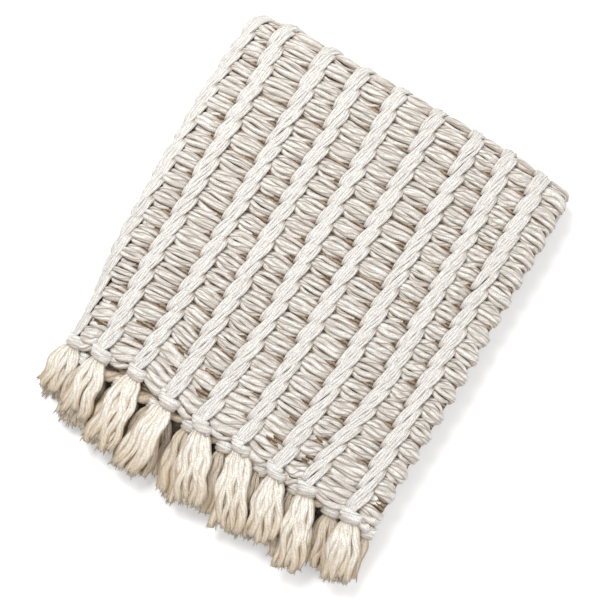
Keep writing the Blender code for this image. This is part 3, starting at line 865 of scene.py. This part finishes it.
def makeStrand(shape, tassel, number):
    # the middle line of one strand, half its width and height, and its shade
    share = (number + 0.5) / shape["strands"] * 2 - 1
    share = share + chance.uniform(-shape["spreadVary"], shape["spreadVary"])
    length = tassel["reach"] * (1 - chance.uniform(0.0, shape["lengthVary"]))
    t = np.linspace(0, 1, shape["rings"] + 1)
    away = shape["root"] + (length - shape["root"]) * t
    waves = chance.uniform(0, tau, 2)
    loose = ramp(away, knotLength, shape["loosenOver"])
    sideOff = share * strandWidths(away, shape, tassel)
    sway = np.sin(tau * away / chance.uniform(*shape["waveLengths"]) + waves[0])
    sideOff = sideOff + shape["wave"] * loose * sway
    layer = (1 if number % 2 else -1) * shape["layer"]
    upOff = layer * (shape["neckLayer"] + (1 - shape["neckLayer"]) * loose)
    upOff = upOff + shape["liftWave"] * loose * np.sin(tau * away / shape["liftWaveLength"] + waves[1])
    thick = shape["neckThick"] + (shape["thick"] - shape["neckThick"]) * ramp(away, *shape["thickRamp"])
    thick = thick * (1 - shape["taper"] * ramp(t, *shape["taperRamp"])) * chance.uniform(*shape["sizes"])
    thick = thick * yarnSize(tassel["width"])
    high = thick * shape["flat"] / shape["thick"]
    points = tasselPoint(tassel, away, sideOff, upOff)
    points[:, 2] = np.maximum(points[:, 2], high + shape["offFloor"])
    # painted shade: the lower rows start darker, and every strand darkens towards its tip
    under = 0 if tassel["row"] == "top" else shape["underShade"]
    shade = under + (shape["tipShade"] - under) * ramp(t, *shape["shadeRamp"]) ** shape["shadePower"]
    return points, thick, high, shade


def makeTufts(shape, points, thick, high):
    # the broken ends of one strand
    ahead = unit(points[-1] - points[-3])
    aside = np.cross(ahead, (0, 0, 1.0))
    steps = np.linspace(0, 1, len(shape["halfWidths"]))[:, None]
    paths = []
    for _ in range(shape["perStrand"]):
        off = chance.uniform(-shape["within"], shape["within"], 2) * (thick[-2], high[-2])
        turn = off[0] * shape["fan"] + chance.uniform(-shape["fanVary"], shape["fanVary"])
        way = unit(ahead + aside * turn)
        start = points[-2] - ahead * shape["root"] + aside * off[0]
        start = start + np.array((0, 0, shape["rootLift"])) * off[1]
        path = start + way * shape["length"] * chance.uniform(*shape["lengths"]) * steps
        path[:, 2] = np.maximum(path[:, 2], shape["offFloor"])
        paths.append(path)
    return paths


def makeTassels(shape, tufting, tassels):
    strandParts, tuftPaths = [], []
    for tassel in tassels:
        for number in range(shape["strands"]):
            points, thick, high, shade = makeStrand(shape, tassel, number)
            strandParts.append((points, thick, high, shade))
            tuftPaths.extend(makeTufts(tufting, points, thick, high))
    paths, thick, high, shade = [np.array(values) for values in zip(*strandParts)]
    across = np.array((1.0, 0.0, 0.0))
    strands = makeTubes("tassel_strands", paths, across, thick, high, shape["sides"], shade,
                        lobes=shape["lobes"], sideShade=shape["sideShade"])
    tuftSize = np.array(tufting["halfWidths"])
    # the tufts carry the tips' painted shade
    tufts = makeTubes("tassel_tips", np.array(tuftPaths), across, tuftSize, tuftSize, tufting["sides"],
                      shape["tipShade"])
    return strands, tufts


def makeKnots(shape, tassels):
    paths = []
    turns = shape["turns"]
    t = np.linspace(0, 1, turns * shape["ringsPerTurn"] + 1)
    for tassel in tassels:
        angle = tau * turns * t + chance.uniform(0, tau)
        size = yarnSize(tassel["width"]) * (1 + chance.uniform(-1, 1) * shape["vary"])
        size = size * (shape["cornerSize"] if tassel["rib"] == shape["cornerRib"] else 1)
        bulge = size * (1 - (1 - shape["endSize"]) * t ** shape["bulgePower"])
        slant = shape["slant"] * chance.uniform(*shape["slants"]) * np.sin(angle + shape["slantPhase"])
        away = shape["start"] + shape["length"] * t + slant
        paths.append(tasselPoint(tassel, away, shape["halfWidth"] * bulge * np.cos(angle),
                                 shape["halfHeight"] * bulge * np.sin(angle)))
    thick = shape["yarn"] + (shape["endYarn"] - shape["yarn"]) * ramp(t, 0, shape["yarnTaper"])
    # painted shade on the lower wraps
    shade = shape["shade"] * ramp(t, *shape["shadeRamp"])
    return makeTubes("tassel_knots", np.array(paths), np.array((0.0, -1.0, 0.0)), thick, thick,
                     shape["sides"], shade)


tassels = listTassels()
strands, tufts = makeTassels(tasselShape, tuftShape, tassels)
knots = makeKnots(knotShape, tassels)
for thing in (strands, tufts):
    thing.data.materials.append(tasselYarn)
knots.data.materials.append(ribYarn)
print("tassels made")

# hang the woven and tassel pieces on the root body, and hide the model's throw and tassels

wovenPieces = [cloth, weftTop, weftBase, weftHems, weftHemBacks, ribsTop, ribsBase, ribsHem, ribsHemFar]
tasselPieces = [strands, tufts, knots]
for thing in wovenPieces + tasselPieces:
    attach(thing, "root")
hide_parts("throw")
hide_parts(*[tassel["name"] for tassel in tassels])

# the studio

studio = {
    "floorSize": 12, "floorColour": 0.97, "floorRoughness": 0.9, "skyLight": 0.66,
    "azimuth": 30.7, "elevation": 84, "distance": 1.6, "lookAt": (0.004, -0.007, 0.05),
    "lens": 54.0, "sensor": 36,
    "lamps": (
        {"name": "key", "place": (-1.00, 0.62, 1.95), "size": 0.8, "power": 33.5},
        {"name": "fill", "place": (1.2, 0.6, 1.6), "size": 1.2, "power": 8},
        {"name": "near_fill", "place": (0.5, -1.2, 1.5), "size": 1.2, "power": 6.5},
    ),
}


def addToScene(name, data):
    thing = bpy.data.objects.new(name, data)
    scene.collection.objects.link(thing)
    return thing


def lookAlong(way):
    return way.to_track_quat("-Z", "Y").to_euler()


def makeStudio(setup):
    mesh = bmesh.new()
    bmesh.ops.create_grid(mesh, x_segments=1, y_segments=1, size=setup["floorSize"] / 2)
    data = bpy.data.meshes.new("floor")
    mesh.to_mesh(data)
    mesh.free()
    pale, _, _ = startMaterial("pale_floor", {
        "Base Color": (*[setup["floorColour"]] * 3, 1), "Roughness": setup["floorRoughness"]})
    data.materials.append(pale)
    addToScene("floor", data)
    world = scene.world or bpy.data.worlds.new("studio")
    scene.world = world
    world.use_nodes = True
    world.node_tree.nodes["Background"].inputs["Color"].default_value = (1, 1, 1, 1)
    world.node_tree.nodes["Background"].inputs["Strength"].default_value = setup["skyLight"]
    for lamp in setup["lamps"]:
        light = bpy.data.lights.new(lamp["name"], "AREA")
        light.size = lamp["size"]
        light.energy = lamp["power"]
        thing = addToScene(lamp["name"], light)
        thing.location = lamp["place"]
        thing.rotation_euler = lookAlong(-Vector(lamp["place"]))
    camera = addToScene("camera", bpy.data.cameras.new("camera"))
    camera.data.lens = setup["lens"]
    camera.data.sensor_width = setup["sensor"]
    azimuth, elevation = math.radians(setup["azimuth"]), math.radians(setup["elevation"])
    back = Vector((math.sin(azimuth) * math.cos(elevation), -math.cos(azimuth) * math.cos(elevation),
                   math.sin(elevation)))
    camera.location = Vector(setup["lookAt"]) + back * setup["distance"]
    camera.rotation_euler = lookAlong(-back)
    scene.camera = camera
    scene.view_settings.view_transform = "Standard"


makeStudio(studio)
print("studio made")
